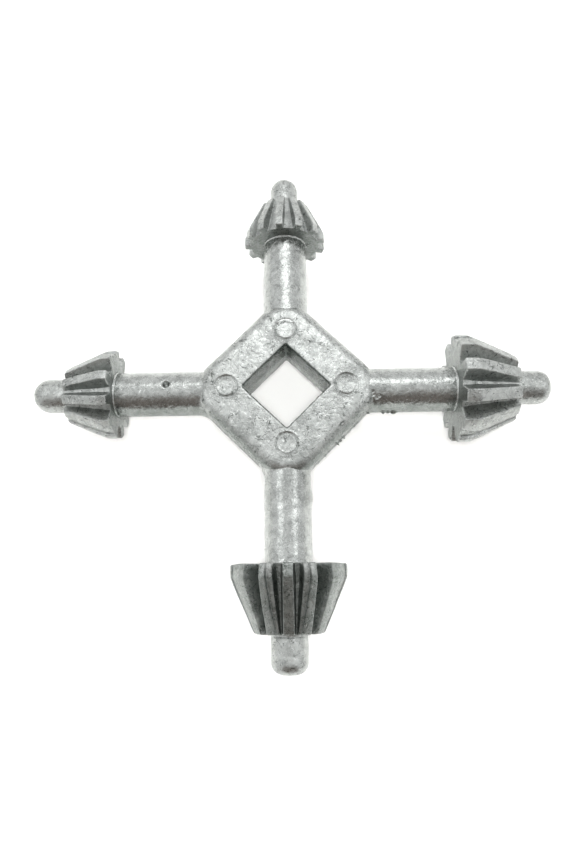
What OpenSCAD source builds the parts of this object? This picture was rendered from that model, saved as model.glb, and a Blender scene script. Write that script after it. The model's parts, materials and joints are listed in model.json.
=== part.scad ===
// Four-way drill chuck key.
// The cross lies in the XY plane with the square drive hole on the Z axis and
// the origin at mid-thickness. Lists of four values run in the order of ENDS.

/* [Hub] */
// Width of the square frame across its flats
hub_flats = 32.4; // [28:0.1:38]
// Thickness of the frame
hub_thick = 10.5; // [10:0.1:12]
// Distance from the centre to the faces that carry the shanks
hub_corner = 17.5; // [17:0.1:17.8]
// Radius along the outer edges
hub_edge_r = 2.8; // [1:0.1:3]
// Square hole across its flats, at mid-thickness
hole_flats = 13.0; // [9:0.1:14]
// How much wider the hole is at each face, per side
hole_draft = 0.33; // [0.1:0.01:0.5]
// Diameter of the ejector-pin marks
mark_d = 4.7; // [3:0.1:5]
// Distance of the marks from the centre
mark_place = 13.1; // [12.8:0.1:13.5]
// Depth of the marks
mark_deep = 0.12; // [0.05:0.01:0.3]

/* [Shanks] */
// Diameter of the four shanks
shank_d = 9.9; // [8:0.1:10]

/* [Pinions] */
// Distance from the centre to the back face of each pinion
pinion_back = [38.0, 37.4, 36.7, 38.0]; // [34:0.1:42]
// Length of each pinion, back face to small end
pinion_length = [10.8, 13.0, 10.1, 13.7]; // [9:0.1:16]
// Outer radius at the back of each pinion
pinion_r = [10.0, 12.0, 9.6, 12.3]; // [9:0.1:14]
// Outer radius at the small end of each pinion
pinion_small_r = [6.3, 7.5, 5.7, 7.2]; // [5.5:0.1:8]
// Length of the straight part behind the cone
pinion_land = [2.0, 3.0, 2.0, 2.6]; // [1:0.1:4]
// Number of teeth
tooth_count = [11, 11, 13, 12]; // [10:1:13]
// Turn of the first tooth from +Z, right-handed about the outward axis
tooth_turn = [9, -8.5, -6.5, 0]; // [-18:0.5:18]
// Tooth thickness at the outer edge
tooth_w = [2.0, 2.7, 1.6, 2.5]; // [1.4:0.1:2.8]
// How much thicker each tooth is at the axis
tooth_flare = 0.6; // [0:0.1:1]
// Radius of the gap floors at the back of each pinion
root_back_r = [6.9, 8.3, 8.0, 8.9]; // [6:0.1:9]
// Radius of the gap floors at the small end of each pinion
root_small_r = [4.9, 5.7, 5.0, 5.6]; // [4.5:0.1:6]

/* [Pilots] */
// Radius of each pilot
pilot_r = [3.75, 3.75, 3.25, 3.75]; // [3:0.05:4.5]
// Length of each pilot, small end of the pinion to tip
pilot_length = [8.2, 8.2, 7.8, 8.0]; // [6:0.1:12]
// Radius of the flat at each pilot's tip
pilot_flat_r = [0.1, 1.15, 0.1, 1.35]; // [0.1:0.05:1.5]

/* [Hidden] */

ENDS = ["left", "right", "rear", "front"];
// Direction of each arm, turned from +X
ARM_ANGLE = [180, 0, 90, 270];
// Bevel on the outer back edge of the teeth
tooth_bevel = 0.3;
// Extra length for cutters
spare = 1;
$fn = 96;

// Lays a shape built along +Z along its own arm, with the shape's +X up
module on_arm(e) {
    rotate([0, 0, ARM_ANGLE[e]]) rotate([0, 90, 0]) rotate([0, 0, 180]) children();
}

// Bar of the frame's rounded section, as long as the frame is wide
module rounded_slab() {
    inner_w = hub_flats - 2 * hub_edge_r;
    inner_t = hub_thick - 2 * hub_edge_r;
    rotate([90, 0, 0])
        linear_extrude(height = hub_flats + spare, center = true) {
            square([hub_flats, inner_t], center = true);
            square([inner_w, hub_thick], center = true);
            for (x = [-1, 1], z = [-1, 1])
                translate([x * inner_w / 2, z * inner_t / 2]) circle(r = hub_edge_r);
        }
}

// Square hole through the frame, narrowest at mid-thickness
module draft_prism() {
    half = hole_flats / 2;
    reach = hub_thick / 2;
    wide = half + hole_draft;
    rotate([90, 0, 0])
        linear_extrude(height = 2 * hole_flats, center = true)
            polygon([
                [-wide, -reach], [wide, -reach], [half, 0],
                [wide, reach], [-wide, reach], [-half, 0]
            ]);
}

module hub_frame() {
    color("silver")
        difference() {
            intersection() {
                rotate([0, 0, 45]) rounded_slab();
                rotate([0, 0, -45]) rounded_slab();
                cube([2 * hub_corner, 2 * hub_corner, 2 * hub_thick], center = true);
            }
            intersection() {
                rotate([0, 0, 45]) draft_prism();
                rotate([0, 0, -45]) draft_prism();
            }
            for (a = [0 : 90 : 270])
                rotate([0, 0, a])
                    translate([mark_place, 0, hub_thick / 2 - mark_deep])
                        cylinder(d = mark_d, h = spare);
        }
}

module shank(e) {
    color("silver")
        on_arm(e)
            translate([0, 0, hub_corner])
                cylinder(d = shank_d, h = pinion_back[e] - hub_corner);
}

// Solid of revolution that all the teeth are trimmed to
module tooth_envelope(e) {
    big = pinion_r[e];
    small = pinion_small_r[e];
    rotate_extrude()
        polygon([
            [0, 0],
            [big - tooth_bevel, 0],
            [big, tooth_bevel],
            [big, pinion_land[e]],
            [small, pinion_length[e]],
            [0, pinion_length[e]]
        ]);
}

// Cone that the teeth stand on
module tooth_core(e) {
    cylinder(r1 = root_back_r[e], r2 = root_small_r[e], h = pinion_length[e]);
}

module teeth(e) {
    reach = pinion_r[e] + spare;
    tip = tooth_w[e] / 2;
    foot = tip + tooth_flare / 2;
    linear_extrude(height = pinion_length[e])
        for (i = [0 : tooth_count[e] - 1])
            rotate(tooth_turn[e] + i * 360 / tooth_count[e])
                polygon([[0, -foot], [reach, -tip], [reach, tip], [0, foot]]);
}

module pinion(e) {
    color("darkgray")
        on_arm(e)
            translate([0, 0, pinion_back[e]])
                union() {
                    tooth_core(e);
                    intersection() {
                        tooth_envelope(e);
                        teeth(e);
                    }
                }
}

// Half outline of a pilot: straight, then a rounded corner, then a flat tip
module pilot_outline(e) {
    flat_r = pilot_flat_r[e];
    tip_r = pilot_r[e] - flat_r;
    straight = pilot_length[e] - tip_r;
    intersection() {
        union() {
            square([pilot_r[e], straight]);
            square([flat_r, pilot_length[e]]);
            translate([flat_r, straight]) circle(r = tip_r);
        }
        square([pilot_r[e], pilot_length[e]]);
    }
}

module pilot(e) {
    color("gainsboro")
        on_arm(e)
            translate([0, 0, pinion_back[e] + pinion_length[e]])
                rotate_extrude() pilot_outline(e);
}

hub_frame();
shank(0);  // left_shank
pinion(0);  // left_pinion
pilot(0);  // left_pilot
shank(1);  // right_shank
pinion(1);  // right_pinion
pilot(1);  // right_pilot
shank(2);  // rear_shank
pinion(2);  // rear_pinion
pilot(2);  // rear_pilot
shank(3);  // front_shank
pinion(3);  // front_pinion
pilot(3);  // front_pilot
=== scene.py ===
"""Looks of a four-way drill chuck key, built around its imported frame.

The key is one die casting. Each stretch of it is a surface worked out as whole
arrays: rings of points round an axis, or a section carried round the hub.
Lengths in the functions are millimetres, and a mesh is written in metres.
"""

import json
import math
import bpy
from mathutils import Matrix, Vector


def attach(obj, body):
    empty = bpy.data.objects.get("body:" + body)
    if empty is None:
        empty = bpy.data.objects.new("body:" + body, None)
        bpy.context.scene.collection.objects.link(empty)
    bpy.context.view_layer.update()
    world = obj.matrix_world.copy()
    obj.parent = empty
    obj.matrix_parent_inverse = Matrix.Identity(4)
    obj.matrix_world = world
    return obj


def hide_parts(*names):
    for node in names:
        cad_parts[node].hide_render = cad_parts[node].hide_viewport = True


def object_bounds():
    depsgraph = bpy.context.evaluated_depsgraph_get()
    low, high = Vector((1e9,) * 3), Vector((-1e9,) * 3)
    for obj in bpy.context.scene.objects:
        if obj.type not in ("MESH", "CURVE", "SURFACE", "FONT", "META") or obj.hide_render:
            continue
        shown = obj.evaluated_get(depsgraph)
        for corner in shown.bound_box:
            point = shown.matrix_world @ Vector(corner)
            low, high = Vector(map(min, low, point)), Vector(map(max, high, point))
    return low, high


bl_info = {
    "name": "Four-Way Chuck Key",
    "version": (1, 0, 0),
    "blender": (4, 5, 0),
    "location": "View3D > Sidebar > Chuck Key",
    "description": "Builds the cast surfaces, the finish and the stage of a four-way drill chuck key",
    "category": "Add Mesh",
}

import bpy
import numpy as np
from bpy.props import FloatProperty, FloatVectorProperty, IntProperty, PointerProperty, StringProperty
from mathutils import Matrix, Vector

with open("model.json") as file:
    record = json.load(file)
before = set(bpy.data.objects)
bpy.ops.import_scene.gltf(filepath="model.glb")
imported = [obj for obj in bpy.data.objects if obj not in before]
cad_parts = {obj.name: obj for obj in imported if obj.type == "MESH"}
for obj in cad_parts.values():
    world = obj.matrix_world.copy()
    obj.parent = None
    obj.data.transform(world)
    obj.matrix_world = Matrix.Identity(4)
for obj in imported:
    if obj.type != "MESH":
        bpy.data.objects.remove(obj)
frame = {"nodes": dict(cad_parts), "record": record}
CAD_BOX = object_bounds()
MM = 0.001
UP = np.array([0.0, 0.0, 1.0])
PI = math.pi

# Half widths of the parting seam's bell curve, on the frame and on the round parts, in millimetres.
FRAME_SEAM = 0.14
ROUND_SEAM = 0.16
# A piece's painted shade runs from 0, none, to about 4, the darkest. This one is the painted shade on a
# pinion's end faces.
CAP_SHADE = 2.5
# Painted glints and dark flecks: the level of a noise at which one starts to show and at which it is full,
# and its colour.
PAINTED_GLINT = (0.36, 0.3, "#E9EBE9")
DARK_FLECK = (0.62, 0.72, "#474C48")
FLOW_LINE_COLOUR = "#4A4E4B"
# Colour that the painted shade darkens the metal towards: in the pinions' gaps and on their end faces, in the
# hub's hole and on the near sides.
PAINTED_SHADE_COLOUR = "#4E5852"


# ---------------------------------------------------------------- the frame


def node_points(name):
    """All corners of a CAD node, in millimetres."""
    mesh = frame["nodes"][name].data
    flat = np.empty(len(mesh.vertices) * 3, np.float32)
    mesh.vertices.foreach_get("co", flat)
    return flat.reshape(-1, 3).astype(float) / MM


class Arm:
    """One arm of the key, with its outlines read from the CAD nodes. Given are the number of teeth, the
    first one's turn from the top in degrees, the teeth's thickness, how fast they thicken inwards and the
    radius of the gap floors. Then come the fillets into the frame, what fills some gaps, how far in
    degrees the teeth gather towards the top, and the share of the second tooth that is missing."""

    def __init__(
        self, name, teeth, turn, tooth, slope, root, fillets, filled=None, shelf=None, gather=(0, 0), narrow=0
    ):
        self.name = name
        self.teeth = teeth
        self.turn = math.radians(turn)
        self.tooth = tooth
        self.slope = slope
        self.root = root
        self.fillets = fillets
        self.fills = [fill for fill in (filled, shelf) if fill]
        self.gather = np.radians(gather)
        self.narrow = narrow
        mounts = {m["name"]: m for m in frame["record"]["mounts"]}
        self.out = np.array(mounts[name + "_pilot_pin"]["axis"], float)
        self.side = np.cross(self.out, UP)
        along, radial = self.measure("_shank")
        self.shank_r = radial.max()
        along, radial = self.measure("_pinion")
        self.back, self.end = along.min(), along.max()
        self.big_r = radial.max()
        # Corners this close to a face or to the largest radius count as on it.
        face_gap, radius_gap, tip_gap = 0.01, 0.02, 0.001
        self.small_r = radial[along > self.end - face_gap].max()
        self.land = along[radial > self.big_r - radius_gap].max() - self.back
        along, radial = self.measure("_pilot")
        self.tip = along.max()
        self.pilot_r = radial.max()
        self.flat_r = radial[along > self.tip - tip_gap].max()

    def measure(self, ending):
        """Distance along the arm and distance from its axis, for a node's corners."""
        points = node_points(self.name + ending)
        along = points @ self.out
        return along, np.linalg.norm(points - along[:, None] * self.out, axis=1)

    def place(self, radius, turn, along):
        """Points at a distance from the axis, turned from straight up towards the arm's side."""
        radius, turn, along = np.broadcast_arrays(radius, turn, along)
        return (
            (radius * np.cos(turn))[..., None] * UP
            + (radius * np.sin(turn))[..., None] * self.side
            + along[..., None] * self.out
        )


# Pairs are for the large end and the small end, and the fillets for the arm's own side and the other one.
# A filling is where it starts and stops, in degrees from the top, and its share of the tip's radius: the
# gaps near the parting plane are nearly full. The front pinion's teeth crowd together at its large end,
# the second tooth each way is a thin one, and a low shelf of metal lies along it.
ARMS = (
    Arm("left", 11, 9, (2.0, 1.9), 0.1, (6.9, 4.9), (0.6, 2.0), filled=(48, 84, 0.94)),
    Arm("right", 11, -8.5, (2.7, 2.4), 0.1, (8.3, 5.7), (1.1, 0.6), filled=(48, 84, 0.94)),
    Arm("rear", 13, -6.5, (1.7, 1.6), 0.02, (8.0, 5.0), (0.5, 0.5)),
    Arm(
        "front",
        12,
        0,
        (2.45, 2.3),
        0.12,
        (8.9, 5.6),
        (1.9, 0.9),
        filled=(46, 88, 0.98),
        shelf=(13.5, 25.5, 0.93),
        gather=(-12, -1),
        narrow=0.47,
    ),
)


class Hub:
    """Sizes of the square frame, read from its CAD node."""

    points = node_points("hub_frame")
    across = np.abs(points[:, 0] + points[:, 1]) / math.sqrt(2)
    half_thick = points[:, 2].max()
    half_flats = across.max()
    # Corners this close to a plane count as on it.
    near = 0.001
    top = points[:, 2] > half_thick - near
    edge_r = half_flats - across[top].max()
    hole_face = np.abs(points[top]).sum(axis=1).min() / math.sqrt(2) - half_thick / math.sqrt(2)
    middle = np.abs(points[:, 2]) < near
    hole_middle = np.abs(points[middle]).sum(axis=1).min() / math.sqrt(2)
    # Only points above this height take part in a scratch on the top face.
    upper = 4


# ------------------------------------------------------- shapes as formulas


def smooth_noise(points, cell, seed):
    """Random values on a cubic lattice of the given cell, joined by the smooth step 3t2 - 2t3."""
    size = 24
    table = np.random.default_rng(seed).uniform(-1, 1, (size, size, size))
    scaled = np.asarray(points) / cell
    base = np.floor(scaled).astype(int)
    t = scaled - base
    t = t * t * (3 - 2 * t)
    total = 0
    for corner in np.ndindex(2, 2, 2):
        index = (base + corner) % size
        weight = np.prod(np.where(corner, t, 1 - t), axis=-1)
        total = total + weight * table[index[..., 0], index[..., 1], index[..., 2]]
    return total


def uneven(points, settings):
    """Moves every point by a smooth random vector, at a coarse and a fine size of wave."""
    moved = points.copy()
    for axis in range(3):
        moved[..., axis] += settings.wave * smooth_noise(points, settings.wave_size, 10 + axis)
        moved[..., axis] += settings.grain * smooth_noise(points, settings.grain_size, 20 + axis)
    return moved


def smooth_min(a, b, width):
    """The lesser of two values, rounded where they are within width of each other."""
    h = np.clip(0.5 + 0.5 * (b - a) / width, 0, 1)
    return b * (1 - h) + a * h - width * h * (1 - h)


def smooth_max(a, b, width):
    """The greater of two values, rounded where they are within width of each other."""
    return -smooth_min(-a, -b, width)


def fade(value, start, stop):
    """0 before start and 1 after stop, with the smooth step between."""
    t = np.clip((value - start) / (stop - start), 0, 1)
    return t * t * (3 - 2 * t)


def dent(points, centre, reach, depth, towards):
    """Pushes points near a centre by depth along a direction, fading as (1 - d2 / reach2) squared."""
    gap = np.linalg.norm(points - np.asarray(centre), axis=-1) / reach
    push = depth * np.clip(1 - gap**2, 0, None) ** 2
    return points + push[..., None] * np.asarray(towards)


def square_outline(half, corner, angle):
    """Distance from the centre to a rounded square's outline. On a flat it is half over the cosine of
    the angle from that flat's normal; on a corner it is where the ray leaves the corner's circle."""
    a = np.abs((angle + PI / 4) % (PI / 2) - PI / 4)
    straight = half - corner
    dot = straight * (np.cos(a) + np.sin(a))
    arc = dot + np.sqrt(np.maximum(dot**2 - 2 * straight**2 + corner**2, 0))
    return np.where(np.tan(a) * half <= straight, half / np.cos(a), arc)


def arc_steps(count):
    """Angles of a quarter turn, without its two ends."""
    return np.linspace(0, PI / 2, count + 2)[1:-1]


# --------------------------------------------------------------- the meshes


def make_piece(name, points, close_rows=False, pole_start=False, pole_end=False, shade=None):
    """Joins rings of points into a closed mesh. Points are (rows, columns, 3) in millimetres, and the
    columns always close on themselves. The rows close too, or end in a pole at the ring's middle."""
    points = np.clip(points, np.array(CAD_BOX[0]) / MM, np.array(CAD_BOX[1]) / MM)
    rows, columns = points.shape[:2]
    index = np.arange(rows * columns).reshape(rows, columns)
    here = index if close_rows else index[:-1]
    there = np.roll(index, -1, axis=0) if close_rows else index[1:]
    quads = np.stack([here, np.roll(here, -1, 1), np.roll(there, -1, 1), there], axis=-1).reshape(-1, 4)
    corners = [points.reshape(-1, 3)]
    faces = quads.tolist()
    count = rows * columns
    if pole_start:
        corners.append(points[0].mean(axis=0)[None])
        faces += np.stack([np.roll(index[0], -1), index[0], np.full(columns, count)], -1).tolist()
        count += 1
    if pole_end:
        corners.append(points[-1].mean(axis=0)[None])
        faces += np.stack([index[-1], np.roll(index[-1], -1), np.full(columns, count)], -1).tolist()
    mesh = bpy.data.meshes.new(name)
    mesh.from_pydata((np.concatenate(corners) * MM).tolist(), [], faces)
    mesh.polygons.foreach_set("use_smooth", np.ones(len(faces), bool))
    # The shade goes into the depth attribute, which the material turns into painted shade.
    if shade is not None:
        values = np.zeros(len(mesh.vertices), np.float32)
        values[: rows * columns] = shade.ravel()
        mesh.attributes.new("depth", "FLOAT", "POINT").data.foreach_set("value", values)
    mesh.validate()
    mesh.update()
    piece = bpy.data.objects.new(name, mesh)
    bpy.context.scene.collection.objects.link(piece)
    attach(piece, "root")
    return piece


def hub_section():
    """The frame's section as half flats and height, all the way round: up the outer wall, round the
    outer edge, in over the face, down the hole's wall, and back under, where the steps are coarser."""
    high, edge, inner = Hub.half_thick, Hub.edge_r, 0.45
    flat_start, flat_end = Hub.half_flats - edge, Hub.hole_face + inner
    turn = arc_steps(8)
    rim = [(flat_start + edge * math.cos(t), high - edge + edge * math.sin(t)) for t in turn]
    lip = [(flat_end - inner * math.sin(t), high - inner + inner * math.cos(t)) for t in arc_steps(4)]
    top_steps, bottom_steps = 54, 22
    # The wall's steps crowd together at the parting seam.
    wall = [0.0, 0.1, 0.2, 0.35, 0.8, 1.6, high - edge]
    hole = np.linspace(high - inner, 0, 8)
    upper = [(Hub.half_flats, z) for z in wall] + rim
    upper += [(a, high) for a in np.linspace(flat_start, flat_end, top_steps)] + lip
    upper += [(Hub.hole_middle + (Hub.hole_face - Hub.hole_middle) * z / high, z) for z in hole]
    lower = [(Hub.half_flats, z) for z in wall[1:]] + rim
    lower += [(a, high) for a in np.linspace(flat_start, flat_end, bottom_steps)] + lip
    lower += [(Hub.hole_middle + (Hub.hole_face - Hub.hole_middle) * z / high, z) for z in hole[:-1]]
    section = np.array(upper + [(a, -z) for a, z in reversed(lower)])
    return section[:, 0], section[:, 1]


def scratch(points, start, stop, width, depth):
    """Lowers points near a straight line on the top face, by a bell curve of their distance from it."""
    a, b = np.array(start, float), np.array(stop, float)
    step = b - a
    t = np.clip(((points[..., :2] - a) @ step) / (step @ step), 0, 1)
    gap = np.linalg.norm(points[..., :2] - a - t[..., None] * step, axis=-1)
    points[..., 2] -= depth * np.exp(-((gap / width) ** 2)) * (points[..., 2] > Hub.upper)


def curved_scratch(points, centre, radius, start, stop, width, depth):
    """The same along an arc: start and stop are angles in degrees from +X, and each end fades in. A stop
    beyond 360 cuts the arc off at 360."""
    ease = 4
    away = points[..., :2] - np.array(centre, float)
    gap = np.abs(np.linalg.norm(away, axis=-1) - radius)
    angle = np.degrees(np.arctan2(away[..., 1], away[..., 0])) % 360
    on = fade(angle, start - ease, start + ease) * (1 - fade(angle, stop - ease, stop + ease))
    points[..., 2] -= depth * on * np.exp(-((gap / width) ** 2)) * (points[..., 2] > Hub.upper)


def build_hub(settings, casting):
    """Carries the frame's section round the hole, then marks its top face."""
    half, height = hub_section()
    flat_start = Hub.half_flats - Hub.edge_r
    share = np.clip((half - Hub.hole_face) / (flat_start - Hub.hole_face), 0, 1)
    corner = settings.hole_corner + share * (settings.face_corner - settings.hole_corner)
    corner = corner + np.clip(half - flat_start, 0, None)
    round_hub = np.linspace(0, 2 * PI, settings.steps, endpoint=False)[:, None]
    ridge = settings.seam * np.exp(-((height / FRAME_SEAM) ** 2)) * (half > flat_start)
    # The seam is torn on the side between the right and front arms: a low lip with nubs that stand out
    # wherever a noise along the outline is high.
    outline_r, nub_size, lip_share, nub_share = 24, 0.55, 0.6, 11
    along_outline = np.stack([round_hub * outline_r, round_hub * 0, round_hub * 0], -1)
    rough = smooth_noise(along_outline, nub_size, 5)
    turned = np.degrees(round_hub)
    torn = fade(turned, 288, 300) * (1 - fade(turned, 342, 352))
    flash = 1 + torn * (lip_share + nub_share * np.clip(rough - 0.3, 0, None))
    radius = square_outline(half[None] + ridge[None] * flash, corner[None], round_hub - PI / 4)
    points = np.stack(
        [radius * np.cos(round_hub), radius * np.sin(round_hub), np.broadcast_to(height, radius.shape)], -1
    )
    on_top = height > Hub.half_thick - 0.01
    # Each ejector mark is a groove with a low lip on both sides of it.
    groove_w, lip_high, lip_gap, lip_w = 0.16, 0.07, 0.4, 0.2
    for quarter in range(4):
        turn = quarter * PI / 2
        centre = settings.mark_place * np.array([math.cos(turn), math.sin(turn)])
        gap = np.linalg.norm(points[..., :2] - centre, axis=-1) - settings.mark_r
        inside = settings.mark_sink * fade(-gap, -0.08, 0.08)
        groove = settings.mark_groove * np.exp(-((gap / groove_w) ** 2))
        lip = lip_high * np.exp(-(((np.abs(gap) - lip_gap) / lip_w) ** 2))
        points[..., 2] += np.where(on_top, lip - inside - groove, 0)
    # A bundle of six straight scratches crosses the rear right side, each shorter than the last.
    for nudge in range(6):
        shift = np.array([0.45, 0.4]) * nudge
        start = np.array([4.7, 10.2]) + shift * np.array([1, -0.3])
        stop = start + np.array([5.6 - nudge * 0.5, -5.2 + nudge * 0.6])
        scratch(points, start, stop, 0.1, 0.05)
    curved_scratch(points, (-0.6, -13.9), 4.2, 60, 160, 0.12, 0.1)
    curved_scratch(points, (0.4, -12.6), 3.1, 285, 415, 0.1, 0.09)
    curved_scratch(points, (-11.0, -6.5), 5.2, 230, 300, 0.1, 0.07)
    points = uneven(points, casting)
    rng = np.random.default_rng(3)
    for spot in rng.uniform(-15, 15, (70, 2)):
        if Hub.hole_face * 1.5 < abs(spot[0]) + abs(spot[1]) < 18:
            points = dent(points, (*spot, Hub.half_thick), rng.uniform(0.25, 0.5), 0.07, -UP)
    # Painted shade: the hole's walls are painted dark, most of all in the rear corner, and so is the outer
    # wall's near side.
    hole_shade, corner_shade, corner_width = 2.9, 1.6, 14
    in_hole = (half < Hub.hole_face + 0.2) & (height > -Hub.half_thick + 1)
    corner_gap = np.abs((turned - 90 + 180) % 360 - 180)
    shade = in_hole * (hole_shade + corner_shade * np.exp(-((corner_gap / corner_width) ** 2)))
    wall = fade(half, flat_start + Hub.edge_r * 0.35, flat_start + Hub.edge_r * 0.9)
    shade = shade + casting.near_side_shade * wall * fade(-np.sin(round_hub), 0.15, 0.45)
    piece = make_piece("hub_frame_casting", points, close_rows=True, shade=shade)
    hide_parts("hub_frame")
    return [piece]


def arm_field(arm, radius, turn, along, sink):
    """Below zero inside the metal: the lesser of the shank's field and the frame's, rounded where they
    meet at the sides. The frame is a rounded square slab, sunk a little so that its own piece covers it."""
    up, side = radius * np.cos(turn), radius * np.sin(turn)
    slab_corner = 5.0
    corner = slab_corner + Hub.edge_r
    p = np.abs(along + side) / math.sqrt(2) - (Hub.half_flats - corner)
    q = np.abs(along - side) / math.sqrt(2) - (Hub.half_flats - corner)
    square = np.hypot(np.maximum(p, 0), np.maximum(q, 0)) + np.minimum(np.maximum(p, q), 0) - corner
    inward = square + Hub.edge_r
    upward = np.abs(up) - (Hub.half_thick - Hub.edge_r)
    slab = np.hypot(np.maximum(inward, 0), np.maximum(upward, 0)) - Hub.edge_r
    slab = slab + np.minimum(np.maximum(inward, upward), 0)
    own, other = arm.fillets
    blend = np.where(side > 0, own, other) * np.sin(turn) ** 2
    return smooth_min(radius - arm.shank_r, slab + sink, 0.02 + blend)


def build_shank(arm, settings, casting):
    """Finds where the field crosses zero on every ray from the axis, by halving, ring after ring. The
    rings start inside the frame and draw closer over the last millimetre, where the rim flares."""
    start, stop, flare = 14.6, arm.back + 0.02, 1.0
    farthest, halvings, sink = 14.0, 22, 0.07
    flared = stop - flare * np.cos(arc_steps(9))
    along = np.concatenate([np.linspace(start, stop - flare, 118), flared, [stop]])[:, None]
    turn = np.linspace(0, 2 * PI, settings.steps, endpoint=False)[None]
    low, high = np.zeros((along.size, turn.size)), np.full((along.size, turn.size), farthest)
    for _ in range(halvings):
        middle = (low + high) / 2
        solid = arm_field(arm, middle, turn, along, sink) < 0
        low, high = np.where(solid, middle, low), np.where(solid, high, middle)
    radius = (low + high) / 2
    rim = settings.rim
    near = np.clip((along - (stop - rim)) / rim, 0, 1)
    radius = radius + rim * (1 - np.sqrt(1 - near**2)) * 0.95
    seam = np.exp(-((np.cos(turn) * arm.shank_r / ROUND_SEAM) ** 2)) * fade(along, 17, 20)
    points = arm.place(radius + settings.seam * seam, turn, along)
    if arm.name == "right":
        # A short stretch of the near seam is torn.
        torn_high, unevenness, nub_size = 0.32, 0.8, 0.5
        torn = fade(along, 20.6, 21.6) * (1 - fade(along, 24.0, 25.5)) * (np.sin(turn) > 0)
        rough = 1 + unevenness * smooth_noise(points, nub_size, 8)
        points = arm.place(radius + (settings.seam + torn_high * torn * rough) * seam, turn, along)
    if arm.name == "front":
        # A low lump stands on the right-hand side.
        lump_high, lump_at, lump_length, lump_turn = 0.35, 24.0, 1.9, 0.4
        lump = np.exp(-(((along - lump_at) / lump_length) ** 2))
        lump = lump * np.exp(-(((turn - 1.5 * PI) / lump_turn) ** 2))
        points = arm.place(radius + settings.seam * seam + lump_high * lump, turn, along)
    points = uneven(points, casting)
    if arm.name == "left":
        # One deep pore, with a small one beside it.
        pit = arm.place(arm.shank_r, math.radians(9.5), 26.4)
        points = dent(points, pit, 1.0, 1.3, -UP)
        points = dent(points, pit + np.array([0.55, 0.25, 0]), 0.5, 0.35, -UP)
    if arm.name == "right":
        # A cluster of small pits, as turn in degrees and distance along.
        for turn_at, along_at in ((28, 19.0), (36, 19.7), (20, 18.8), (31, 20.2)):
            spot = arm.place(arm.shank_r, math.radians(turn_at), along_at)
            points = dent(points, spot, 0.5, 0.35, -UP)
    # Painted shade on the arm's near side, standing in for the darker floor it reflects there.
    nearness = -np.sin(turn) * arm.side[1]
    near_side_shade = casting.near_side_shade * fade(nearness, 0.6, 0.95) + 0 * along
    piece = make_piece(
        arm.name + "_shank_casting", points, pole_start=True, pole_end=True, shade=near_side_shade
    )
    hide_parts(arm.name + "_shank")
    return piece


def half_teeth(arm, tip_r, root_r, half_w, round_tip=0.36, round_root=0.3):
    """Angle and radius from the middle of each tooth to the middle of the gap beside it. The radius is the
    lesser of the tip circle and the flank, a straight line that leans out by the slope towards the root,
    where it gives way to the greater root circle. Both changes are rounded."""
    pitch = PI / arm.teeth
    slope = arm.slope
    lean = math.atan(slope)
    foot = half_w + slope * tip_r
    reach = foot / math.hypot(1, slope)
    meet = foot.max() / (math.sin(pitch) + slope * math.cos(pitch))
    root = max(root_r, meet + 0.1)
    edge = np.arcsin(reach / tip_r) - lean
    bottom = np.minimum(np.arcsin(np.minimum(reach / root, 1)) - lean, pitch * 0.97)
    radii = tip_r + (root - tip_r) * np.linspace(0, 1, 12)[1:] ** 1.15
    flank = np.minimum(np.arcsin(np.minimum(reach / radii, 1)) - lean, bottom)
    land = edge * np.array([0, 0.4, 0.7, 0.86, 0.96, 1])
    floor = bottom + (pitch - bottom) * np.arange(1, 9) / 8
    angle = np.concatenate([land, flank, floor], axis=1)
    line = foot / np.maximum(np.sin(angle) + slope * np.cos(angle), 1e-3)
    line = np.minimum(line, tip_r * 3)
    return angle, smooth_min(tip_r + 0 * line, smooth_max(line, root + 0 * line, round_root), round_tip)


def pinion_ring(arm, share, tip_r, inset):
    """One closed ring of a pinion as radius and turn, with the teeth gathered towards the top or spread
    from it by the sine of their turn."""
    pitch = PI / arm.teeth
    middle = (arm.turn + 2 * pitch * np.arange(arm.teeth))[:, None]
    from_top = np.abs((middle + PI) % (2 * PI) - PI)
    thin = arm.narrow * np.exp(-(((from_top - PI / 6) / 0.2) ** 2)) * (1 - 0.75 * share)
    width = (arm.tooth[0] + (arm.tooth[1] - arm.tooth[0]) * share) * (1 - thin)
    root_r = arm.root[0] + (arm.root[1] - arm.root[0]) * share
    angle, radius = half_teeth(arm, tip_r, root_r, width / 2 - inset * 0.6)
    back = slice(-2, 0, -1)
    mirrored = middle + 2 * pitch - np.roll(angle, -1, 0)[:, back]
    turn = np.concatenate([middle + angle, mirrored], axis=1).ravel()
    radius = np.concatenate([radius, np.roll(radius, -1, 0)[:, back]], axis=1).ravel()
    gather = arm.gather[0] + (arm.gather[1] - arm.gather[0]) * share
    turn = turn + gather * np.sin(turn)
    from_top = np.abs(np.degrees((turn + PI) % (2 * PI) - PI))
    ease = 3
    for start, stop, level in arm.fills:
        full = fade(from_top, start, start + ease) * (1 - fade(from_top, stop - ease, stop))
        radius = np.maximum(radius, tip_r * level * full)
    return radius, turn


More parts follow.
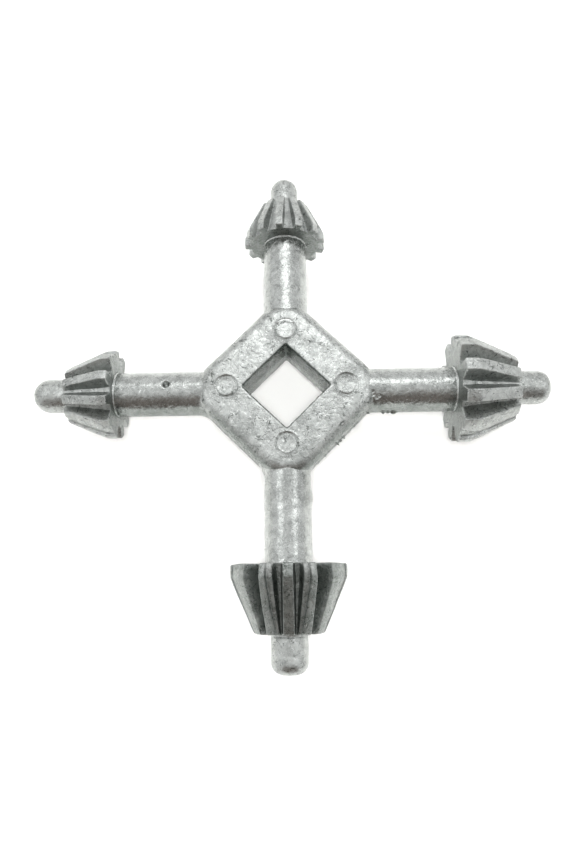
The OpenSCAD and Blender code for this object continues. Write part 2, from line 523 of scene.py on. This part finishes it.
def build_pinion(arm, settings, casting):
    """Carries the toothed ring from the back face over the straight land and down the cone, then closes
    it over the small end to the pilot."""
    length = arm.end - arm.back
    bevel = settings.bevel
    ease = bevel * (1 - np.cos(arc_steps(3)))
    level = np.linspace(bevel, arm.land, 5)
    sloped = np.linspace(arm.land, length - bevel, 34)[1:]
    stations = np.concatenate([[0], ease, level, sloped, length - ease[::-1], [length]])
    rings = []
    for s in stations:
        down = np.clip((s - arm.land) / (length - arm.land), 0, 1)
        cone = arm.big_r + (arm.small_r - arm.big_r) * down
        near_end = max(bevel - min(s, length - s), 0)
        inset = bevel - math.sqrt(bevel**2 - near_end**2)
        # The edge between the land and the cone is worn by a bell curve.
        tip_r = cone - 0.08 * math.exp(-(((s - arm.land) / 0.9) ** 2)) - inset
        radius, turn = pinion_ring(arm, s / length, tip_r, inset)
        # Painted shade in the gaps, deeper the farther a point lies below the tip cone.
        depth = np.clip((cone - radius) / (cone * 0.4), 0, 1)
        rings.append((radius, turn, arm.back + s + 0 * radius, depth))
    # Each end face is closed by rings that shrink to just inside the shank or the pilot. They carry the end
    # faces' painted shade.
    outward = np.array([0.0, 0.35, 0.7, 0.92])[:, None]
    caps = len(outward)
    for end, middle, parts in ((0, arm.shank_r - 0.6, outward), (-1, arm.pilot_r - 0.3, outward[::-1])):
        radius, turn, along, depth = rings[end]
        cap = [(middle + (radius - middle) * part, turn, along, 0 * depth + CAP_SHADE) for part in parts]
        rings = cap + rings if end == 0 else rings + cap
    radius, turn, along, depth = (np.array(part) for part in zip(*rings))
    points = uneven(arm.place(radius, turn, along), casting)
    # The body's first ring at the back takes the end faces' painted shade too.
    depth[caps] = CAP_SHADE
    toothed = slice(caps + 1, -caps)
    if arm.name == "front":
        # Painted darker all over, and the painted shade in the gaps beside the middle tooth is deeper.
        least_dark, beside_more, beside_reach = 2.2, 2.2, 0.36
        beside = np.cos(turn[toothed]) > math.cos(beside_reach)
        depth[toothed] = np.maximum(depth[toothed] * (1 + beside_more * beside), least_dark)
    if arm.name == "rear":
        # The painted shade in the gaps is weaker, and one of them has a pit.
        depth[toothed] *= 0.3
        points = dent(points, arm.place(7.6, math.radians(-17), 42.3), 0.6, 0.7, -UP)
    rng = np.random.default_rng(len(arm.name))
    for _ in range(settings.pits):
        s = rng.uniform(0.5, length - 0.5)
        a = rng.uniform(-1.4, 1.4)
        spot = arm.place(arm.big_r + (arm.small_r - arm.big_r) * s / length, a, arm.back + s)
        points = dent(points, spot, rng.uniform(0.3, 0.6), rng.uniform(0.08, 0.2), -arm.place(1, a, 0))
    if arm.name == "front":
        # The back end of the shelf beside each second tooth bulges, and the painted shade is taken away
        # there.
        for way in (-1, 1):
            bulge = np.array([3.6 * way, -arm.back - 0.8, 10.9])
            points = dent(points, bulge, 1.6, 0.45, (-0.3 * way, 0.3, 0.9))
            depth = depth * np.clip(np.linalg.norm(points - bulge, axis=-1) - 1, 0, 1)
    piece = make_piece(
        arm.name + "_pinion_casting", points, pole_start=True, pole_end=True, shade=depth
    )
    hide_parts(arm.name + "_pinion")
    return piece


def build_pilot(arm, settings, casting):
    """Turns the pilot's outline round its axis: a small hollow fillet, the straight wall, the rounded
    corner and the flat or nearly flat tip."""
    corner = arm.pilot_r - arm.flat_r
    straight_end = arm.tip - corner
    fillet = settings.fillet
    root = arc_steps(5)
    foot_s = arm.end + fillet * (1 - np.cos(root))
    foot_r = arm.pilot_r + fillet * (1 - np.sin(root))
    wall_s = np.linspace(arm.end + fillet, straight_end, 30)
    nose = arc_steps(22)
    nose_s = straight_end + corner * np.sin(nose)
    nose_r = arm.flat_r + corner * np.cos(nose)
    face_r = np.linspace(arm.flat_r, 0.05, 5 if arm.flat_r > 0.5 else 2)
    face_s = np.full(len(face_r), arm.tip)
    wall_r = np.full(len(wall_s), arm.pilot_r)
    along = np.concatenate([[arm.end - 0.1], foot_s, wall_s, nose_s, face_s])
    radius = np.concatenate([[arm.pilot_r + fillet], foot_r, wall_r, nose_r, face_r])
    turn = np.linspace(0, 2 * PI, settings.steps, endpoint=False)[None]
    # The seam is lower than on the arms, and it ends before it reaches the axis.
    pilot_share, seam_end_r = 0.6, 1.5
    seam = np.exp(-((np.cos(turn) * radius[:, None] / ROUND_SEAM) ** 2)) * (radius[:, None] > seam_end_r)
    radius = radius[:, None] + settings.seam * seam * pilot_share
    if arm.name == "front":
        # A shallow groove runs round the top, just beyond the pinion.
        beyond, width, deep = 0.55, 0.14, 0.16
        ring = np.exp(-(((along[:, None] - arm.end - beyond) / width) ** 2))
        radius = radius - deep * ring * fade(np.cos(turn), 0.1, 0.7)
    points = uneven(arm.place(radius, turn, along[:, None]), casting)
    piece = make_piece(arm.name + "_pilot_casting", points, pole_start=True, pole_end=True)
    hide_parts(arm.name + "_pilot")
    return piece


# ------------------------------------------------------------ the materials


def linear(code):
    """An sRGB hex colour as the linear red, green, blue and alpha that the shaders want."""
    parts = [int(code[i : i + 2], 16) / 255 for i in (1, 3, 5)]
    return tuple(c / 12.92 if c <= 0.04045 else ((c + 0.055) / 1.055) ** 2.4 for c in parts) + (1.0,)


def add_node(tree, kind, inputs=None, **settings):
    """Adds one node, sets what it is told, and fills or links each named input."""
    node = tree.nodes.new(kind)
    for key, value in settings.items():
        setattr(node, key, value)
    for key, value in (inputs or {}).items():
        if isinstance(value, bpy.types.NodeSocket):
            tree.links.new(value, node.inputs[key])
        else:
            node.inputs[key].default_value = value
    return node


def per_metre(size_mm):
    """Noise scale that gives features of about the given size."""
    return 1 / (size_mm * MM)


def cast_zinc(name, settings, sand, roughness, speckle, lines, shaded=False):
    """Zinc die-casting alloy as it leaves the die: a pale, slightly green-grey metal with a fine sandy
    grain that breaks its reflections into sparkle, smoky stains from the die release, thin wandering
    lines where the metal met itself, dark flecks, and bright flecks that are painted glints. Given are the
    relief of the grain, the mean roughness, the strength of the flecks and of the lines, and whether the
    piece's painted shade darkens it."""
    material = bpy.data.materials.new(name)
    material.use_nodes = True
    tree = material.node_tree
    tree.nodes.clear()
    place = add_node(tree, "ShaderNodeTexCoord").outputs["Object"]

    def noise(size_mm, detail, rough=0.55, distortion=0.0):
        return add_node(
            tree,
            "ShaderNodeTexNoise",
            {
                "Vector": place,
                "Scale": per_metre(size_mm),
                "Detail": detail,
                "Roughness": rough,
                "Distortion": distortion,
            },
        ).outputs["Fac"]

    def remap(value, low, high, to_low, to_high):
        return add_node(
            tree,
            "ShaderNodeMapRange",
            {"Value": value, "From Min": low, "From Max": high, "To Min": to_low, "To Max": to_high},
        ).outputs["Result"]

    def mix(factor, a, b):
        return add_node(tree, "ShaderNodeMix", {0: factor, 6: a, 7: b}, data_type="RGBA").outputs[2]

    def maths(operation, *values):
        return add_node(tree, "ShaderNodeMath", dict(enumerate(values)), operation=operation).outputs[0]

    grain = noise(settings.grain_mm, 3, 0.7)
    flow = noise(settings.flow_mm, 4, 0.6, 0.8)
    cloud = noise(settings.flow_mm * 4, 2)
    colour = mix(remap(flow, 0.35, 0.68, 0, 1), linear(settings.light), linear(settings.dark))
    colour = mix(remap(cloud, 0.52, 0.74, 0, 0.7), colour, linear(settings.stain))
    # Flow lines follow one level of a noise, wherever a second noise lets them show.
    away = maths("ABSOLUTE", maths("SUBTRACT", noise(settings.line_mm, 3, 0.6, 1.2), 0.5))
    shown = remap(noise(settings.line_gap_mm, 2), 0.38, 0.5, 0, lines)
    line = maths("MULTIPLY", remap(away, 0.005, 0.013, 1, 0), shown)
    colour = mix(line, colour, linear(FLOW_LINE_COLOUR))
    # Painted glints and dark flecks are thick where the cloud is high and thin elsewhere.
    fleck = noise(settings.fleck_mm, 1)
    amount = maths("MULTIPLY", remap(cloud, 0.4, 0.6, 0.15, 1), speckle)
    for low, high, code in (PAINTED_GLINT, DARK_FLECK):
        colour = mix(maths("MULTIPLY", remap(fleck, low, high, 0, 1), amount), colour, linear(code))
    # Painted shade: the piece's depth attribute mixes the colour towards a dark grey-green.
    if shaded:
        depth = add_node(tree, "ShaderNodeAttribute", attribute_name="depth").outputs["Fac"]
        depth = maths("ADD", depth, remap(flow, 0.3, 0.7, -0.2, 0.2))
        colour = mix(remap(depth, 0.3, 4.3, 0, 0.9), colour, linear(PAINTED_SHADE_COLOUR))
    rough = remap(grain, 0.3, 0.7, roughness - 0.1, roughness + 0.14)
    shader = add_node(
        tree, "ShaderNodeBsdfPrincipled", {"Base Color": colour, "Metallic": 1.0, "Roughness": rough}
    )
    fine_mm, broad_mm = 0.16, 0.25
    fine = add_node(tree, "ShaderNodeBump", {"Height": grain, "Strength": sand, "Distance": fine_mm * MM})
    broad = add_node(
        tree,
        "ShaderNodeBump",
        {
            "Height": flow,
            "Strength": settings.flow_strength,
            "Distance": broad_mm * MM,
            "Normal": fine.outputs[0],
        },
    )
    tree.links.new(broad.outputs[0], shader.inputs["Normal"])
    add_node(tree, "ShaderNodeOutputMaterial", {"Surface": shader.outputs[0]})
    return material


def dress(pieces, material):
    """Gives each piece its material."""
    for piece in pieces:
        piece.data.materials.clear()
        piece.data.materials.append(material)


# ------------------------------------------------------------ the settings


class CastingSettings(bpy.types.PropertyGroup):
    """The unevenness that every cast surface shares, and the strength of the painted shade on the near sides.
    """

    wave: FloatProperty(
        name="Wave", description="Height of the broad waves, mm", default=0.05, min=0, max=0.3
    )
    wave_size: FloatProperty(
        name="Wave size", description="Length of the broad waves, mm", default=3.2, min=1
    )
    grain: FloatProperty(
        name="Grain", description="Height of the small bumps, mm", default=0.02, min=0, max=0.2
    )
    grain_size: FloatProperty(
        name="Grain size", description="Length of the small bumps, mm", default=0.7, min=0.2
    )
    # Painted shade, not a stain: it darkens the near sides of the frame and the arms, standing in for the
    # darker floor they reflect.
    near_side_shade: FloatProperty(
        name="Near_side_shade", description="Strength of the smoky stain on the near side", default=2.5
    )


class FinishSettings(bpy.types.PropertyGroup):
    """The look of the zinc."""

    grain_mm: FloatProperty(
        name="Sand size", description="Size of the sandy grain, mm", default=0.55, min=0.1
    )
    # The flecks here are the painted glints and the dark flecks.
    fleck_mm: FloatProperty(
        name="Fleck size", description="Size of the pits and flecks, mm", default=0.42, min=0.1
    )
    flow_mm: FloatProperty(
        name="Flow mark size", description="Size of the flow marks, mm", default=1.6, min=0.5
    )
    line_mm: FloatProperty(
        name="Flow line size", description="Size of their wandering, mm", default=3.4, min=1
    )
    line_gap_mm: FloatProperty(
        name="Flow line gaps", description="Size of the stretches without them, mm", default=2.6, min=0.5
    )
    flow_strength: FloatProperty(
        name="Flow mark strength", description="Relief of the marks", default=0.5, min=0
    )
    light: StringProperty(
        name="Light metal", description="sRGB hex colour of the clean metal", default="#B7BAB8"
    )
    dark: StringProperty(
        name="Dark metal", description="sRGB hex colour of the dull metal", default="#9A9D9B"
    )
    stain: StringProperty(
        name="Stain", description="sRGB hex colour of the smoky stains", default="#858886"
    )


class HubSettings(bpy.types.PropertyGroup):
    """The square frame."""

    steps: IntProperty(name="Steps", description="Stations round the frame", default=768, min=100)
    hole_corner: FloatProperty(
        name="Hole corner", description="Radius in the hole's corners, mm", default=0.5
    )
    face_corner: FloatProperty(
        name="Face corner", description="Radius of the face's corners, mm", default=4.8
    )
    seam: FloatProperty(name="Parting seam", description="Height of the parting seam, mm", default=0.09)
    mark_place: FloatProperty(
        name="Mark place", description="Ejector marks from the centre, mm", default=13.1
    )
    mark_r: FloatProperty(name="Mark radius", description="Radius of an ejector mark, mm", default=2.35)
    mark_sink: FloatProperty(
        name="Mark depth", description="Depth of an ejector mark, mm", default=0.05
    )
    mark_groove: FloatProperty(name="Mark groove", description="Groove round a mark, mm", default=0.24)


class ShankSettings(bpy.types.PropertyGroup):
    """The round arms."""

    steps: IntProperty(name="Steps", description="Stations round an arm", default=224, min=48)
    rim: FloatProperty(name="Rim", description="Radius of the rim at the pinion, mm", default=0.38)
    seam: FloatProperty(name="Parting seam", description="Height of the parting seam, mm", default=0.05)


class PinionSettings(bpy.types.PropertyGroup):
    """The bevel pinions."""

    bevel: FloatProperty(name="Edge round", description="Rounding of the tooth ends, mm", default=0.3)
    pits: IntProperty(name="Pits", description="Casting pits on each pinion", default=10, min=0)


class PilotSettings(bpy.types.PropertyGroup):
    """The round-nosed pilots."""

    steps: IntProperty(name="Steps", description="Stations round a pilot", default=160, min=48)
    fillet: FloatProperty(
        name="Fillet", description="Radius where a pilot leaves its pinion, mm", default=0.3
    )
    seam: FloatProperty(name="Parting seam", description="Height of the parting seam, mm", default=0.05)


class StageSettings(bpy.types.PropertyGroup):
    """Camera, floor and lights."""

    eye: FloatVectorProperty(
        name="Camera",
        description="Camera position",
        subtype="XYZ",
        unit="LENGTH",
        default=(0.00229, -0.04265, 0.13047),
    )
    lens: FloatProperty(name="Lens", description="Focal length on a 36 mm frame, mm", default=25.29)
    floor: StringProperty(name="Floor", description="sRGB hex colour of the floor", default="#F4F4F2")
    floor_glow: FloatProperty(
        name="Floor glow", description="Light that the paper lets through", default=0.04
    )
    key_power: FloatProperty(
        name="Key light", description="Power of the key light", default=0.48, unit="POWER"
    )
    fill_power: FloatProperty(
        name="Fill light", description="Power of the fill light", default=0.2, unit="POWER"
    )
    paper_power: FloatProperty(
        name="Paper light", description="Power of the light on the floor", default=0.32, unit="POWER"
    )
    sky: FloatProperty(name="Sky", description="Strength of the surroundings", default=1.12)


GROUPS = {
    "key_casting": CastingSettings,
    "key_finish": FinishSettings,
    "key_hub": HubSettings,
    "key_shank": ShankSettings,
    "key_pinion": PinionSettings,
    "key_pilot": PilotSettings,
    "key_stage": StageSettings,
}


# ----------------------------------------------------------- the operators


class KEY_OT_hub(bpy.types.Operator):
    """Builds the square frame with its ejector marks, scratches and flash"""

    bl_idname = "chuck_key.hub"
    bl_label = "Build the frame"

    def execute(self, context):
        scene = context.scene
        pieces = build_hub(scene.key_hub, scene.key_casting)
        zinc = cast_zinc(
            "zinc_hub", scene.key_finish, sand=0.4, roughness=0.27, speckle=0.3, lines=0.9, shaded=True
        )
        dress(pieces, zinc)
        return {"FINISHED"}


class KEY_OT_shanks(bpy.types.Operator):
    """Builds the four round arms with their fillets into the frame"""

    bl_idname = "chuck_key.shanks"
    bl_label = "Build the arms"

    def execute(self, context):
        scene = context.scene
        pieces = [build_shank(arm, scene.key_shank, scene.key_casting) for arm in ARMS]
        zinc = cast_zinc(
            "zinc_shank", scene.key_finish, sand=0.2, roughness=0.22, speckle=0.2, lines=0.4, shaded=True
        )
        dress(pieces, zinc)
        return {"FINISHED"}


class KEY_OT_pinions(bpy.types.Operator):
    """Builds the four bevel pinions"""

    bl_idname = "chuck_key.pinions"
    bl_label = "Build the pinions"

    def execute(self, context):
        scene = context.scene
        pieces = [build_pinion(arm, scene.key_pinion, scene.key_casting) for arm in ARMS]
        zinc = cast_zinc(
            "zinc_pinion", scene.key_finish, sand=0.8, roughness=0.32, speckle=0.6, lines=0.9, shaded=True
        )
        dress(pieces, zinc)
        return {"FINISHED"}


class KEY_OT_pilots(bpy.types.Operator):
    """Builds the four round-nosed pilots"""

    bl_idname = "chuck_key.pilots"
    bl_label = "Build the pilots"

    def execute(self, context):
        scene = context.scene
        pieces = [build_pilot(arm, scene.key_pilot, scene.key_casting) for arm in ARMS]
        zinc = cast_zinc("zinc_pilot", scene.key_finish, sand=0.5, roughness=0.3, speckle=0.45, lines=0.8)
        dress(pieces, zinc)
        return {"FINISHED"}


def area_light(name, place, size, power):
    """A white, rectangular soft box at a place, facing the middle of the key."""
    light = bpy.data.lights.new(name, "AREA")
    light.shape = "RECTANGLE"
    light.size, light.size_y = size
    light.energy = power
    lamp = bpy.data.objects.new(name, light)
    lamp.location = place
    lamp.rotation_euler = (Vector() - Vector(place)).to_track_quat("-Z", "Y").to_euler()
    bpy.context.scene.collection.objects.link(lamp)
    return lamp


def surroundings(strength):
    """A pale room with a dim, warm side in front of the key, as where a person stands."""
    world = bpy.data.worlds.new("room")
    world.use_nodes = True
    tree = world.node_tree
    tree.nodes.clear()
    way = add_node(tree, "ShaderNodeTexCoord").outputs["Generated"]
    person = (0.0, -0.93, 0.36)
    front = add_node(
        tree, "ShaderNodeVectorMath", {0: way, 1: person}, operation="DOT_PRODUCT"
    ).outputs["Value"]
    dim = add_node(
        tree,
        "ShaderNodeMapRange",
        {"Value": front, "From Min": 0.45, "From Max": 0.95, "To Min": 0.0, "To Max": 1.0},
        interpolation_type="SMOOTHSTEP",
    ).outputs["Result"]
    colour = add_node(
        tree, "ShaderNodeMix", {0: dim, 6: linear("#FDFDFD"), 7: linear("#857D78")}, data_type="RGBA"
    ).outputs[2]
    back = add_node(tree, "ShaderNodeBackground", {"Color": colour, "Strength": strength})
    add_node(tree, "ShaderNodeOutputWorld", {"Surface": back.outputs[0]})
    bpy.context.scene.world = world


def build_stage(settings):
    """The floor, the camera and the lights."""
    gap, reach = 0.0002, 3.0
    low = CAD_BOX[0][2] - gap
    mesh = bpy.data.meshes.new("floor")
    corners = [(-reach, -reach, low), (reach, -reach, low), (reach, reach, low), (-reach, reach, low)]
    mesh.from_pydata(corners, [], [(0, 1, 2, 3)])
    floor = bpy.data.objects.new("floor", mesh)
    bpy.context.scene.collection.objects.link(floor)
    paper = bpy.data.materials.new("white_paper")
    paper.use_nodes = True
    shader = paper.node_tree.nodes["Principled BSDF"]
    shader.inputs["Base Color"].default_value = linear(settings.floor)
    shader.inputs["Roughness"].default_value = 0.9
    shader.inputs["Emission Color"].default_value = linear(settings.floor)
    shader.inputs["Emission Strength"].default_value = settings.floor_glow
    mesh.materials.append(paper)
    surroundings(settings.sky)
    area_light("key_light", (0.02, 0.31, 0.51), (0.32, 0.16), settings.key_power)
    area_light("left_fill", (-0.37, 0.07, 0.48), (0.16, 0.2), settings.fill_power)
    area_light("right_fill", (0.37, 0.07, 0.48), (0.16, 0.2), settings.fill_power)
    # These two only whiten the paper, so they leave no glint on the metal.
    paper_size, top_share = (0.03, 0.03), 0.6
    back = area_light("paper_back", (0, 0.26, 0.24), paper_size, settings.paper_power)
    top = area_light("paper_top", (0.003, -0.048, 0.155), paper_size, settings.paper_power * top_share)
    back.visible_glossy = top.visible_glossy = False
    # Pale metal on a pale floor keeps its contrast only with the plain display curve.
    bpy.context.scene.view_settings.view_transform = "Standard"
    camera = bpy.data.objects.new("camera", bpy.data.cameras.new("camera"))
    camera.data.lens = settings.lens
    camera.data.sensor_width = 36
    camera.data.clip_start = 0.005
    right = Vector((0.99974, -0.01257, -0.01919))
    up = Vector((0.01690, 0.96869, 0.24769))
    turn = Matrix((right, up, right.cross(up))).transposed()
    camera.matrix_world = Matrix.Translation(Vector(settings.eye)) @ turn.to_4x4()
    bpy.context.scene.collection.objects.link(camera)
    bpy.context.scene.camera = camera


class KEY_OT_stage(bpy.types.Operator):
    """Sets the floor, the camera and the lights"""

    bl_idname = "chuck_key.stage"
    bl_label = "Set the stage"

    def execute(self, context):
        build_stage(context.scene.key_stage)
        return {"FINISHED"}


OPERATORS = (KEY_OT_hub, KEY_OT_shanks, KEY_OT_pinions, KEY_OT_pilots, KEY_OT_stage)


class KEY_PT_panel(bpy.types.Panel):
    """Lists the steps that build the key"""

    bl_idname = "KEY_PT_panel"
    bl_label = "Chuck Key"
    bl_space_type = "VIEW_3D"
    bl_region_type = "UI"
    bl_category = "Chuck Key"

    def draw(self, context):
        for operator in OPERATORS:
            self.layout.operator(operator.bl_idname)


def register():
    """Makes the settings, the operators and the panel known"""
    for group in GROUPS.values():
        bpy.utils.register_class(group)
    for name, group in GROUPS.items():
        setattr(bpy.types.Scene, name, PointerProperty(type=group))
    for operator in OPERATORS:
        bpy.utils.register_class(operator)
    bpy.utils.register_class(KEY_PT_panel)


def unregister():
    """Takes them all away again, in reverse"""
    bpy.utils.unregister_class(KEY_PT_panel)
    for operator in reversed(OPERATORS):
        bpy.utils.unregister_class(operator)
    for name in GROUPS:
        delattr(bpy.types.Scene, name)
    for group in reversed(GROUPS.values()):
        bpy.utils.unregister_class(group)


def main():
    """Builds the whole scene"""
    register()
    bpy.ops.chuck_key.stage()
    bpy.ops.chuck_key.hub()
    bpy.ops.chuck_key.shanks()
    bpy.ops.chuck_key.pinions()
    bpy.ops.chuck_key.pilots()


if __name__ == "__main__":
    main()
